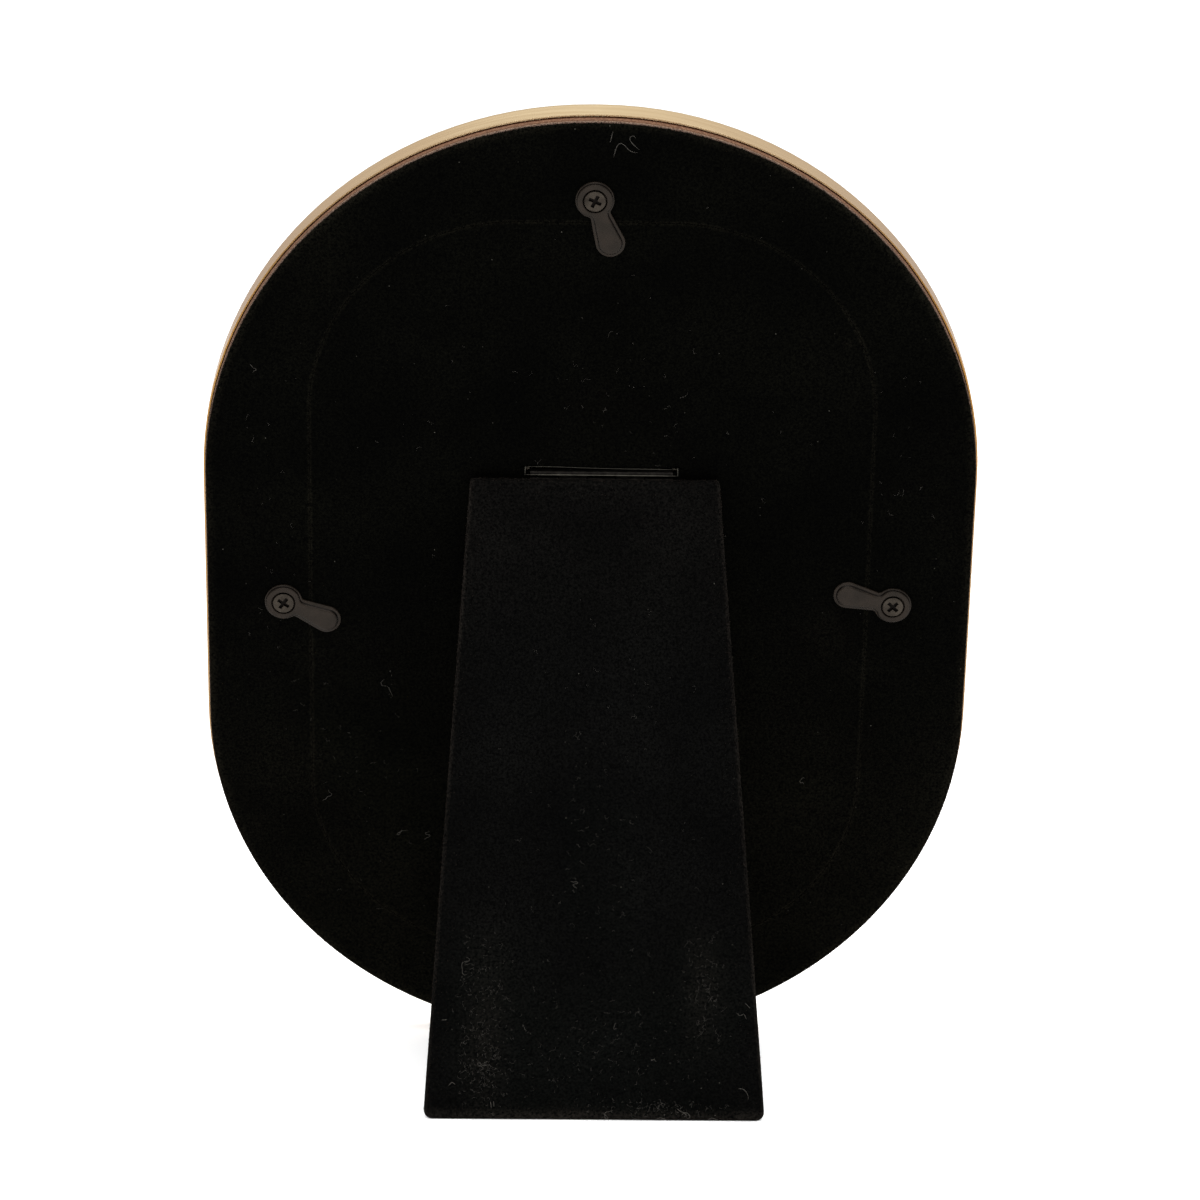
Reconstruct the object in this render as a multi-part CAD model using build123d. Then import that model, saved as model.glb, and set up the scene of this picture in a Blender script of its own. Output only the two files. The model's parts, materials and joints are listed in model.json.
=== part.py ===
from build123d import *
import math
import os

# Photo frame with a round top and bottom and straight sides, standing on a hinged easel leg.
# Millimetres, +Z up. The picture faces -Y and the open leg reaches towards +Y.
# Pieces are drawn first on the bench, with the frame lying on its face and the leg folded flat:
# x runs to the right as seen from behind, y runs up the frame, z comes out of the velvet back.

# Pressed metal front: a side wall, a flat border and a short return round the window
RIM_WIDTH = 152.4
RIM_HEIGHT = 203.2
RIM_END_FLAT = 1.4
RIM_SHEET = 0.3
RIM_EDGE_RADIUS = 0.4
RETURN_DEPTH = 2.45
WINDOW_OVERLAP = 5.0
WINDOW_BEVEL = 0.15
WINDOW_BEVEL_TAPER = 45.0

# Board ring inside the metal front, standing out of it at the back
BORDER_WIDTH = 21.2
BOARD_PROUD = 2.75
RIM_BOARD_CLEARANCE = 0.15
VELVET_SETBACK = 0.2
SEAM_GAP = 0.5
PILOT_CLEARANCE = 0.05

# Picture pack and the removable back behind it
PANEL_CORNER_RADIUS = 40.0
PANEL_THICKNESS = 2.5
VELVET_THICKNESS = 0.4
GLASS_THICKNESS = 2.0
INSERT_THICKNESS = 0.3
FILLER_THICKNESS = 1.0
PACK_CLEARANCE = 0.5

# Stamped turn-buttons: a dished eye, and a handle with a raised crown inside a flat flange
BUTTON_REACH = 12.15
BUTTON_SHEET = 0.5
BUTTON_RISE = 0.6
BUTTON_FLANGE = 0.5
BUTTON_LIFT = 0.15
CROWN_TAPER = 40.0
EYE_TAPER = 20.0
EYE_DIAMETER = 7.45
DISH_DIAMETER = 4.65
NECK_WIDTH = 3.0
TIP_WIDTH = 5.7
PIVOT_CLEARANCE = 0.08
TOP_SCREW_TO_SEAM = 5.05
TOP_SCREW_SHIFT = -0.25
SIDE_SCREW_TO_SEAM = 5.55
SIDE_SCREW_SHIFT = -0.1
SIDE_SCREW_DROPS = {"left": 1.0, "right": 0.55}
BUTTON_ANGLES = {"top": -70.5, "left": -24.0, "right": 166.3}

# Screws with a low head, flush with the eye, and a cross recess
SCREW_DIAMETER = 2.2
SCREW_LENGTH = 6.0
SCREW_POINT = 1.4
HEAD_DIAMETER = 4.1
HEAD_HEIGHT = 0.6
HEAD_ROUNDING = 0.15
HEAD_CLEARANCE = 0.1
RECESS_SPAN = 2.6
RECESS_ARM = 0.7
RECESS_DEPTH = 0.5
RECESS_TAPER = 8.0
RECESS_ANGLES = {"top": -26.0, "left": -35.0, "right": 45.0}

# Butt hinge: one leaf passes through a slot in the back, the other lies in the leg
HINGE_HEIGHT = 127.8
HINGE_SHIFT = 2.0
HINGE_WIDTH = 28.0
HINGE_STANDOFF = 0.3
HINGE_RELIEF = 0.25
LEAF_THICKNESS = 0.5
PIN_DIAMETER = 0.9
PIN_CLEARANCE = 0.05
KNUCKLE_COUNT = 5
KNUCKLE_GAP = 0.2
PANEL_LEAF_HEIGHT = 12.0
LEG_LEAF_HEIGHT = 13.0
SLOT_RISE = 1.85
SLOT_HEIGHT = 1.9
SLOT_END_GAP = 1.05
RIVET_DIAMETER = 2.0
RIVET_HEAD_DIAMETER = 3.6
RIVET_HEAD_THICKNESS = 0.5
RIVET_SPACING = 16.0
RIVET_CLEARANCE = 0.05
RIVET_HEIGHT_SHARE = 0.6

# Easel leg: a board with a velvet cover turned in over its edges, and a lining inside
LEG_FOOT_RAISE = 2.8
LEG_TOP_WIDTH = 48.8
LEG_FOOT_WIDTH = 67.3
LEG_TOP_SHIFT = 0.7
LEG_FOOT_SHIFT = 1.8
LEG_BOARD_THICKNESS = 2.2
LEG_COVER_THICKNESS = 0.4
LEG_COVER_ROUNDING = 0.3
LEG_CORNER_RADIUS = 1.5
LEG_TURN_IN = 7.0
LEG_OPEN_ANGLE = 24.6
STOP_GAP = 0.1
LEAF_FIT = 0.1

# Cuts run past the faces they open by this much
OVERRUN = 1.0

# Levels out of the back, from the velvet's surface at zero down to the front of the metal
panel_back = -VELVET_THICKNESS
panel_front = panel_back - PANEL_THICKNESS
filler_front = panel_front - FILLER_THICKNESS
insert_front = filler_front - INSERT_THICKNESS
glass_front = insert_front - GLASS_THICKNESS
rim_front = glass_front - RETURN_DEPTH
rim_back = -BOARD_PROUD
board_front = rim_front + RIM_SHEET
board_inset = RIM_SHEET + RIM_BOARD_CLEARANCE
velvet_inset = board_inset + VELVET_SETBACK

# Hinge axis and the leg's levels, with the leg folded flat
knuckle_radius = PIN_DIAMETER / 2 + PIN_CLEARANCE + LEAF_THICKNESS
hinge_level = HINGE_STANDOFF + knuckle_radius
hinge_left = HINGE_SHIFT - HINGE_WIDTH / 2
hinge_right = HINGE_SHIFT + HINGE_WIDTH / 2
leaf_top = HINGE_STANDOFF + LEAF_THICKNESS
knuckle_reach = knuckle_radius + HINGE_RELIEF
panel_leaf_bottom = HINGE_HEIGHT + SLOT_RISE - LEAF_THICKNESS / 2
leg_leaf_top = HINGE_HEIGHT - knuckle_reach
leg_inside = HINGE_STANDOFF
leg_board_inside = leg_inside + LEG_COVER_THICKNESS
leg_board_outside = leg_board_inside + LEG_BOARD_THICKNESS
leg_outside = leg_board_outside + LEG_COVER_THICKNESS
swing = math.radians(LEG_OPEN_ANGLE)

# The open leg's top edge comes to rest against the back, which sets how far the leg reaches above its axis.
# Folded flat, its foot lies just above the frame's lower edge.
leg_top = HINGE_HEIGHT + (hinge_level - STOP_GAP - knuckle_radius * math.cos(swing)) / math.sin(swing)
leg_foot = LEG_FOOT_RAISE
leg_length = HINGE_HEIGHT - leg_foot

# The floor touches the open leg's inner foot edge and the lowest back edge of the frame
foot_height = HINGE_HEIGHT - leg_length * math.cos(swing) - knuckle_radius * math.sin(swing)
foot_level = hinge_level + leg_length * math.sin(swing) - knuckle_radius * math.cos(swing)
rest_edges = [(0, rim_back), (board_inset, panel_back), (velvet_inset, 0)]
lean = max(math.atan2(foot_height - height, foot_level - level) for height, level in rest_edges)
foot_slope = math.tan(swing - lean)

# Screw places on the ring, as seen from behind
side_screw_reach = RIM_WIDTH / 2 - BORDER_WIDTH + SIDE_SCREW_TO_SEAM
screw_places = {
    "top": (TOP_SCREW_SHIFT, RIM_HEIGHT - BORDER_WIDTH + TOP_SCREW_TO_SEAM),
    "left": (SIDE_SCREW_SHIFT - side_screw_reach, RIM_HEIGHT / 2 - SIDE_SCREW_DROPS["left"]),
    "right": (SIDE_SCREW_SHIFT + side_screw_reach, RIM_HEIGHT / 2 - SIDE_SCREW_DROPS["right"]),
}
screw_seat = BUTTON_LIFT + BUTTON_SHEET + HEAD_CLEARANCE


def rim_outline(inset):
    """The frame's outline drawn in all round by an inset: straight sides, round ends with a short flat."""
    end_radius = (RIM_WIDTH - RIM_END_FLAT) / 2
    outline = RectangleRounded(RIM_WIDTH - 2 * inset, RIM_HEIGHT - 2 * inset, end_radius - inset)
    return Pos(0, RIM_HEIGHT / 2) * outline


def panel_outline(outset):
    """The removable back's outline, let out all round by an outset."""
    width = RIM_WIDTH - 2 * BORDER_WIDTH + 2 * outset
    height = RIM_HEIGHT - 2 * BORDER_WIDTH + 2 * outset
    return Pos(0, RIM_HEIGHT / 2) * RectangleRounded(width, height, PANEL_CORNER_RADIUS + outset)


def slab(outline, low, high):
    """An outline given thickness between two levels."""
    return extrude(Pos(0, 0, low) * outline, amount=high - low)


def block(left, right, bottom, top, low, high):
    """A plain block between its six faces."""
    middle = Pos((left + right) / 2, (bottom + top) / 2)
    return slab(middle * Rectangle(right - left, top - bottom), low, high)


def discs(places, diameter, low, high):
    """Round studs or holes of one size at a row of places."""
    return [slab(Pos(*place) * Circle(diameter / 2), low, high) for place in places]


def front_rim():
    shell = slab(rim_outline(0), rim_front, rim_back)
    shell = fillet(shell.edges().group_by(Axis.Z)[0], RIM_EDGE_RADIUS)
    shell -= slab(rim_outline(RIM_SHEET), board_front, rim_back + OVERRUN)
    shell += slab(panel_outline(RIM_SHEET - WINDOW_OVERLAP), rim_front, glass_front)
    shell -= slab(panel_outline(-WINDOW_OVERLAP), rim_front - OVERRUN, glass_front + OVERRUN)
    bevel = Pos(0, 0, rim_front) * panel_outline(WINDOW_BEVEL - WINDOW_OVERLAP)
    return shell - extrude(bevel, amount=WINDOW_BEVEL, taper=WINDOW_BEVEL_TAPER)


def ring_layer(inset, low, high, hole_clearance):
    """One layer of the ring round the removable back, with its three screw holes."""
    layer = slab(rim_outline(inset) - panel_outline(SEAM_GAP), low, high)
    hole = SCREW_DIAMETER + 2 * hole_clearance
    return layer - discs(screw_places.values(), hole, low - OVERRUN, high + OVERRUN)


def pack_layer(low, high):
    """One layer of the picture pack, loose in the ring's opening."""
    return slab(panel_outline(SEAM_GAP - PACK_CLEARANCE), low, high)


def panel_layer(low, high):
    """One layer of the removable back, with the slot for the hinge."""
    slot_half = SLOT_HEIGHT / 2
    slot_middle = HINGE_HEIGHT + SLOT_RISE
    slot = block(
        hinge_left - SLOT_END_GAP,
        hinge_right + SLOT_END_GAP,
        slot_middle - slot_half,
        slot_middle + slot_half,
        low - OVERRUN,
        high + OVERRUN,
    )
    return slab(panel_outline(0), low, high) - slot


def panel_board():
    board = panel_layer(panel_front, panel_back)
    pocket = block(
        hinge_left - LEAF_FIT,
        hinge_right + LEAF_FIT,
        panel_leaf_bottom,
        panel_leaf_bottom + PANEL_LEAF_HEIGHT + LEAF_FIT,
        panel_front - OVERRUN,
        panel_front + LEAF_THICKNESS,
    )
    return board - pocket - hinge_panel_rivets(RIVET_CLEARANCE)


def rivet_pair(height, low, high, clearance):
    """A leaf's two flush rivets, headed at the high end, or the holes for them when a clearance is given."""
    places = [(HINGE_SHIFT + side * RIVET_SPACING / 2, height) for side in (-1, 1)]
    shank = RIVET_DIAMETER + 2 * clearance
    head = RIVET_HEAD_DIAMETER + 2 * clearance
    return Part() + discs(places, shank, low, high) + discs(places, head, high - RIVET_HEAD_THICKNESS, high)


def hinge_panel_rivets(clearance):
    height = panel_leaf_bottom + PANEL_LEAF_HEIGHT * RIVET_HEIGHT_SHARE
    return rivet_pair(height, panel_front, panel_back, clearance)


def hinge_leg_rivets(clearance):
    height = leg_leaf_top - LEG_LEAF_HEIGHT * RIVET_HEIGHT_SHARE
    return rivet_pair(height, leg_inside, leg_board_outside, clearance)


def leaf_with_knuckles(leaf, numbers, direction):
    """A leaf with its rolled knuckles, joined to it by tongues that go up or down from the axis."""
    pitch = (HINGE_WIDTH + KNUCKLE_GAP) / KNUCKLE_COUNT
    width = pitch - KNUCKLE_GAP
    for number in numbers:
        left = hinge_left + number * pitch
        ends = sorted([HINGE_HEIGHT, HINGE_HEIGHT + direction * knuckle_reach])
        leaf += block(left, left + width, *ends, HINGE_STANDOFF, leaf_top)
        leaf += along_hinge(left + width / 2) * Cylinder(knuckle_radius, width)
    return leaf - along_hinge(HINGE_SHIFT) * Cylinder(PIN_DIAMETER / 2 + PIN_CLEARANCE, HINGE_WIDTH + OVERRUN)


def along_hinge(middle):
    """The place of a round piece that lies along the hinge axis."""
    return Pos(middle, HINGE_HEIGHT, hinge_level) * Rot(0, 90, 0)


def hinge_panel_leaf():
    bend_top = panel_leaf_bottom + LEAF_THICKNESS
    plate_top = panel_leaf_bottom + PANEL_LEAF_HEIGHT
    plate_back = panel_front + LEAF_THICKNESS
    leaf = block(hinge_left, hinge_right, panel_leaf_bottom, plate_top, panel_front, plate_back)
    leaf += block(hinge_left, hinge_right, panel_leaf_bottom, bend_top, panel_front, leaf_top)
    leaf += block(hinge_left, hinge_right, HINGE_HEIGHT + knuckle_reach, bend_top, HINGE_STANDOFF, leaf_top)
    leaf = leaf_with_knuckles(leaf, range(1, KNUCKLE_COUNT, 2), 1)
    return leaf - hinge_panel_rivets(RIVET_CLEARANCE)


def hinge_leg_leaf():
    bottom = leg_leaf_top - LEG_LEAF_HEIGHT
    leaf = block(hinge_left, hinge_right, bottom, leg_leaf_top, HINGE_STANDOFF, leaf_top)
    leaf = leaf_with_knuckles(leaf, range(0, KNUCKLE_COUNT, 2), -1)
    return leaf - hinge_leg_rivets(RIVET_CLEARANCE)


def leg_blank(inset, low, high):
    """The leg's tapered plate, drawn in by an inset, with its foot cut to lie flat on the floor when open."""
    def foot(level):
        return leg_foot + inset - foot_slope * (level - leg_inside)

    tip = min(foot(low), foot(high))
    taper = (LEG_FOOT_WIDTH - LEG_TOP_WIDTH) / (leg_top - leg_foot)
    skew = (LEG_FOOT_SHIFT - LEG_TOP_SHIFT) / (leg_top - leg_foot)
    top = leg_top - inset
    top_half = (LEG_TOP_WIDTH + taper * inset) / 2 - inset
    tip_half = (LEG_TOP_WIDTH + taper * (leg_top - tip)) / 2 - inset
    top_middle = LEG_TOP_SHIFT + skew * inset
    tip_middle = LEG_TOP_SHIFT + skew * (leg_top - tip)
    corners = [(top_middle - top_half, top), (tip_middle - tip_half, tip)]
    corners += [(tip_middle + tip_half, tip), (top_middle + top_half, top)]
    plan = Polygon(*corners, align=None)
    side = Plane.YZ * Polygon((top, low), (top, high), (foot(high), high), (foot(low), low), align=None)
    body = slab(plan, low, high) & extrude(side, amount=LEG_FOOT_WIDTH, both=True)
    foot_edges = body.faces().sort_by(Axis.Y)[0].edges().sort_by(Axis.X)
    return fillet([foot_edges[0], foot_edges[-1]], LEG_CORNER_RADIUS)


def hinge_room():
    """The room that the leg leaves for its leaf and for the knuckles."""
    leaf = block(
        hinge_left - LEAF_FIT,
        hinge_right + LEAF_FIT,
        leg_leaf_top - LEG_LEAF_HEIGHT - LEAF_FIT,
        leg_top,
        leg_inside - OVERRUN,
        leaf_top,
    )
    knuckles = block(
        hinge_left - HINGE_RELIEF,
        hinge_right + HINGE_RELIEF,
        HINGE_HEIGHT - knuckle_reach - LEAF_FIT,
        leg_top + OVERRUN,
        leg_inside - OVERRUN,
        hinge_level + knuckle_reach,
    )
    return leaf + knuckles


def leg_board():
    board = leg_blank(LEG_COVER_THICKNESS, leg_board_inside, leg_board_outside)
    return board - hinge_room() - hinge_leg_rivets(RIVET_CLEARANCE)


def leg_lining():
    return leg_blank(LEG_TURN_IN, leg_inside, leg_board_inside) - hinge_room()


def leg_cover():
    cover = leg_blank(0, leg_inside, leg_outside)
    cover = fillet(cover.faces().sort_by(Axis.Z)[-1].edges(), LEG_COVER_ROUNDING)
    cover -= leg_blank(LEG_COVER_THICKNESS, leg_board_inside, leg_board_outside)
    return cover - leg_blank(LEG_TURN_IN, leg_inside, leg_board_inside) - hinge_room()


def turn_button(place, angle):
    """A turn-button with its handle turned to an angle, counted from the right as seen from behind."""
    tip_radius = TIP_WIDTH / 2
    tip_middle = BUTTON_REACH - tip_radius
    neck_half = NECK_WIDTH / 2
    corners = [(0, -neck_half), (tip_middle, -tip_radius), (tip_middle, tip_radius), (0, neck_half)]
    handle = Polygon(*corners, align=None) + Pos(tip_middle, 0) * Circle(tip_radius)
    eye = Circle(EYE_DIAMETER / 2)
    flat_top = BUTTON_LIFT + BUTTON_SHEET
    button = slab(handle + eye, BUTTON_LIFT, flat_top)
    crown = offset(handle, amount=-BUTTON_FLANGE)
    button += extrude(Pos(0, 0, flat_top) * crown, amount=BUTTON_RISE, taper=CROWN_TAPER)
    eye_crown = Circle(EYE_DIAMETER / 2 - BUTTON_FLANGE)
    button += extrude(Pos(0, 0, flat_top) * eye_crown, amount=BUTTON_RISE, taper=EYE_TAPER)
    hollow = offset(handle, amount=-BUTTON_FLANGE - BUTTON_SHEET) - eye
    button -= extrude(Pos(0, 0, BUTTON_LIFT) * hollow, amount=BUTTON_RISE, taper=CROWN_TAPER)
    button -= slab(Circle(DISH_DIAMETER / 2), flat_top, flat_top + BUTTON_RISE + OVERRUN)
    button -= slab(Circle(SCREW_DIAMETER / 2 + PIVOT_CLEARANCE), 0, flat_top + OVERRUN)
    return Pos(*place) * Rot(0, 0, angle) * button


def turn_button_screw(place, angle):
    """A low-headed screw with its cross recess turned to an angle."""
    shank = SCREW_DIAMETER / 2
    head = HEAD_DIAMETER / 2
    point = screw_seat - SCREW_LENGTH
    crown = screw_seat + HEAD_HEIGHT
    corners = [(0, point), (shank, point + SCREW_POINT), (shank, screw_seat)]
    corners += [(head, screw_seat), (head, crown), (0, crown)]
    profile = Plane.XZ * Polygon(*corners, align=None)
    screw = revolve(profile, Axis.Z)
    screw = fillet(screw.edges().group_by(Axis.Z)[-1], HEAD_ROUNDING)
    cross = Rectangle(RECESS_SPAN, RECESS_ARM) + Rectangle(RECESS_ARM, RECESS_SPAN)
    screw -= extrude(Pos(0, 0, crown) * cross, amount=-RECESS_DEPTH, taper=RECESS_TAPER)
    return Pos(*place) * Rot(0, 0, angle) * screw


def frame_pieces():
    """The pieces that stay with the frame."""
    pieces = {
        "front_rim": front_rim(),
        "ring_board": ring_layer(board_inset, board_front, panel_back, PILOT_CLEARANCE),
        "ring_velvet": ring_layer(velvet_inset, panel_back, 0, PIVOT_CLEARANCE),
        "glass": pack_layer(glass_front, insert_front),
        "insert_card": pack_layer(insert_front, filler_front),
        "filler_board": pack_layer(filler_front, panel_front),
        "panel_board": panel_board(),
        "panel_velvet": panel_layer(panel_back, 0),
        "hinge_panel_leaf": hinge_panel_leaf(),
        "hinge_panel_rivets": hinge_panel_rivets(0),
        "hinge_pin": along_hinge(HINGE_SHIFT) * Cylinder(PIN_DIAMETER / 2, HINGE_WIDTH),
    }
    screws = [turn_button_screw(screw_places[side], RECESS_ANGLES[side]) for side in screw_places]
    pieces["turn_button_screws"] = Part() + screws
    for side, place in screw_places.items():
        pieces["turn_button_" + side] = turn_button(place, BUTTON_ANGLES[side])
    return pieces


def leg_pieces():
    """The pieces that swing with the leg, opened out about the hinge axis."""
    pieces = {
        "hinge_leg_leaf": hinge_leg_leaf(),
        "hinge_leg_rivets": hinge_leg_rivets(0),
        "leg_board": leg_board(),
        "leg_cover": leg_cover(),
        "leg_lining": leg_lining(),
    }
    axis = Pos(0, HINGE_HEIGHT, hinge_level)
    opened = axis * Rot(-LEG_OPEN_ANGLE, 0, 0) * axis.inverse()
    return {name: opened * piece for name, piece in pieces.items()}


# The bench's axes as they stand on the table, leaning back until the foot and the frame share the floor
leaning = Plane((0, 0, 0), x_dir=(-1, 0, 0), z_dir=(0, math.cos(lean), -math.sin(lean))).location
parts = {name: leaning * piece for name, piece in {**frame_pieces(), **leg_pieces()}.items()}
box = Compound([piece for piece in parts.values()]).bounding_box()
standing = Pos(0, -box.center().Y, -box.min.Z)
placed = standing * leaning

os.makedirs("parts", exist_ok=True)
for name, piece in parts.items():
    export_step(standing * piece, "parts/" + name + ".step")

hinge_point = (placed * Pos(0, HINGE_HEIGHT, hinge_level)).position
print("lean", round(math.degrees(lean), 3))
print("box", box.size)
print("hinge axis at", hinge_point)
for side, place in screw_places.items():
    print("turn-button axis", side, (placed * Pos(*place, 0)).position)
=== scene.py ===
import json
import math

import bmesh
import bpy
import numpy as np
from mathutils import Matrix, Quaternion, Vector


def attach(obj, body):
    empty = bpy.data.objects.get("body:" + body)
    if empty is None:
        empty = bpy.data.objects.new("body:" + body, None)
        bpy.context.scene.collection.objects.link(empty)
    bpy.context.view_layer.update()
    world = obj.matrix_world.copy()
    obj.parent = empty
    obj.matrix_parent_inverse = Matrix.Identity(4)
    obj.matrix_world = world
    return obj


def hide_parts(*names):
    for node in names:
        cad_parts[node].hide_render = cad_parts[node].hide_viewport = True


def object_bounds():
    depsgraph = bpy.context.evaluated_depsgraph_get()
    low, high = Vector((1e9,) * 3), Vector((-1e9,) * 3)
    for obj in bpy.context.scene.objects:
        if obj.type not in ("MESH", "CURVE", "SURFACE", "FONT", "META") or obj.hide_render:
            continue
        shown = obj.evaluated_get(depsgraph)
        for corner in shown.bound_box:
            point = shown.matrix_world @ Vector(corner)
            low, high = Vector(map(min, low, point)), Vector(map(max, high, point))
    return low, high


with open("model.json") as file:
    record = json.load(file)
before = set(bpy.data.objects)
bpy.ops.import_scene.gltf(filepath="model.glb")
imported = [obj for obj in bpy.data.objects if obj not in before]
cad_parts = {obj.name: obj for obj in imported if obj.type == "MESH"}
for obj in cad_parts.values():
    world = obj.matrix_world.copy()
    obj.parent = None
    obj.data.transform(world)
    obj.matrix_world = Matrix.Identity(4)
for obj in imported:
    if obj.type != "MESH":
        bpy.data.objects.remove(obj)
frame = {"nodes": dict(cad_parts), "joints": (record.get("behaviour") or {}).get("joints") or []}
cad_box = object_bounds()

# Standing photo frame, seen from behind: black velvet back, gold metal edge, easel leg.
# Shapes are worked out on the bench, in millimetres: x runs to the right as seen from behind, y runs up the
# frame, z comes out of the velvet back, whose surface is at zero, and the leg is folded flat.
MM = 0.001
RIM_WIDTH = 152.4
RIM_HEIGHT = 203.2
RIM_END_FLAT = 1.4
RING_INSET = 0.5
BORDER_WIDTH = 21.2
SEAM_GAP = 0.5
PANEL_CORNER = 40.0
VELVET = 0.4
PILE_ROLL = 0.26
SEAM_TUCK = 0.235
SLOT_TUCK = 0.12
TUCK_DEPTH = 2.2
GLASS_FRONT = -6.2
GLASS_BACK = -4.23
GLASS_EASE = 0.15

TOP_SCREW = (-0.25, 187.05)
LEFT_SCREW = (-60.65, 100.6)
RIGHT_SCREW = (60.45, 101.05)
BUTTON_LIFT = 0.15
BUTTON_SHEET = 0.5
BUTTON_RISE = 0.6
EYE_RADIUS = 3.725
DISH_RADIUS = 2.325
SCREW_HOLE_RADIUS = 1.18
TIP_RADIUS = 2.85
TIP_MIDDLE = 9.3
SIDE_FLARE = 8.5
NECK_FILLET = 0.6
BUTTON_ANGLES = {"top": -70.5, "left": -24.0, "right": 166.3}

HINGE_HEIGHT = 127.8
HINGE_LEVEL = 1.3
HINGE_SHIFT = 2.0
HINGE_ROOM = 28.5
SLOT_WIDTH = 30.1
SLOT_HEIGHT = 1.9
SLOT_MIDDLE = 129.65
SLOT_CORNER = 0.2
LEAF_HIGHLIGHT_HEIGHT = 129.22
LEAF_HIGHLIGHT_LEVEL = 0.88

LEG_TOP = 128.498
LEG_FOOT = 2.8
LEG_TOP_WIDTH = 48.8
LEG_FOOT_WIDTH = 67.3
LEG_TOP_SHIFT = 0.7
LEG_FOOT_SHIFT = 1.8
LEG_INSIDE = 0.3
LEG_OUTSIDE = 3.3
LEG_FOOT_CORNER = 1.6
LEG_TOP_CORNER = 0.6
LEG_TURN_IN = 7.0
LEG_NOTCH_LEVEL = 2.55
LEG_ROUNDING = 0.8
LEG_FOOT_ROUNDING = 0.35
LEG_FACE_ROWS = 19

# Where a finish changes, and where painted shade, reflection or highlight is laid on, as levels out of the
# back or heights up the frame
FRONT_EDGE_REFLECTION = (-8.4, -7.9)
GAP_SHADE_LEVELS = (-2.4, -2.2)
GLUE_LINE = (-1.2, -0.8)
FURRED_BOARD = (-0.9, -0.6)
BUTTON_CREASE = (0.67, 1.0)
BELOW_SCREW_FACE = (-9.0, 1.24)
LOW_SIDE_REFLECTION = (150, 110)
BACK_EDGE_HIGHLIGHT = (150, RIM_HEIGHT)

CAMERA_PLACE = (-16.6, 532.8, 854.7)
CAMERA_AIM = (2.2, 101.4, 0.0)
CAMERA_ROLL = 0.8
CAMERA_LENS = 144.45

# The bench's place and the open leg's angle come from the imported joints
joints = {joint["name"]: joint for joint in frame["joints"]}
out_of_back = np.array(joints["turn_top"]["axis"])
to_the_right = np.array([-1.0, 0.0, 0.0])
up_the_frame = np.cross(out_of_back, to_the_right)
bench_axes = np.array([to_the_right, up_the_frame, out_of_back])
top_pivot = np.array([*TOP_SCREW, BUTTON_LIFT])
bench_origin = np.array(joints["turn_top"]["pos_m"]) - top_pivot * MM @ bench_axes
leg_open = math.radians(joints["leg_fold"]["range_deg"][1])
leg_swing = np.array([
    [1, 0, 0],
    [0, math.cos(leg_open), -math.sin(leg_open)],
    [0, math.sin(leg_open), math.cos(leg_open)],
])
hinge_line = np.array([0, HINGE_HEIGHT, HINGE_LEVEL])
lean = math.atan2(-out_of_back[2], out_of_back[1])
velvet_level = float(bench_origin @ out_of_back)
rim_bottom = float(bench_origin @ up_the_frame)
foot_slope = math.tan(leg_open - lean)


def stand_frame(bench):
    """Bench millimetres to the standing frame in metres: each axis times its coordinate, added to the
    origin."""
    return bench_origin + bench * MM @ bench_axes


def stand_leg(bench):
    """Bench millimetres of the folded leg to the standing, open leg: turned about the hinge line, then stood
    up."""
    return stand_frame((bench - hinge_line) @ leg_swing + hinge_line)


def on_bench(points, leg):
    """The way back from the standing part to bench millimetres, for a point of the frame or of the leg."""
    bench = (points - bench_origin) @ bench_axes.T / MM
    return (bench - hinge_line) @ leg_swing.T + hinge_line if leg else bench


# Shapes

def smooth(value, low, high):
    """Goes from 0 at low to 1 at high along an S curve, 3t^2 - 2t^3."""
    share = np.clip((value - low) / (high - low), 0, 1)
    return share * share * (3 - 2 * share)


def arc_loop(arcs, count, arc_steps=65):
    """A closed outline of arcs joined by straight runs, with its outward normals.
    Each arc is x, y, radius, first angle, last angle; it is hollow where the angle falls. The points
    stand at equal shares of the outline's length, from the middle of the run that closes it."""
    x, y, radius, first, last = np.array(arcs, float).T[..., None]
    angle = np.radians(first + (last - first) * np.linspace(0, 1, arc_steps))
    facing = np.where(last > first, angle, angle + math.pi).ravel()
    path = np.stack([(x + radius * np.cos(angle)).ravel(), (y + radius * np.sin(angle)).ravel()], 1)
    table = np.column_stack([path, np.cos(facing), np.sin(facing)])
    middle = (table[0] + table[-1]) / 2
    table = np.vstack([middle, table, middle])
    length = np.append(0, np.cumsum(np.hypot(*np.diff(table[:, :2], axis=0).T)))
    at = np.arange(count) / count * length[-1]
    found = np.stack([np.interp(at, length, column) for column in table.T], 1)
    normals = found[:, 2:] / np.linalg.norm(found[:, 2:], axis=1, keepdims=True)
    return found[:, :2], normals


def box_loop(width, height, radius, middle, count):
    """A rectangle with round corners as an outline, from the middle of its lower run, anticlockwise."""
    x, y = width / 2 - radius, height / 2 - radius
    places = [(x, -y, -90), (x, y, 0), (-x, y, 90), (-x, -y, 180)]
    return arc_loop([(middle[0] + u, middle[1] + v, radius, a, a + 90) for u, v, a in places], count)


def at_level(flat, level):
    """Flat points raised to a level."""
    return np.column_stack([flat, np.broadcast_to(level, len(flat))])


def skin(loops, closed):
    """Quads between neighbouring loops of a stack; closed joins the last loop to the first."""
    index = np.arange(loops.shape[0] * loops.shape[1]).reshape(loops.shape[:2])
    above = np.roll(index, -1, 0)
    quads = np.stack([index, np.roll(index, -1, 1), np.roll(above, -1, 1), above], -1)
    return loops.reshape(-1, 3), (quads if closed else quads[:-1]).reshape(-1, 4)


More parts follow.
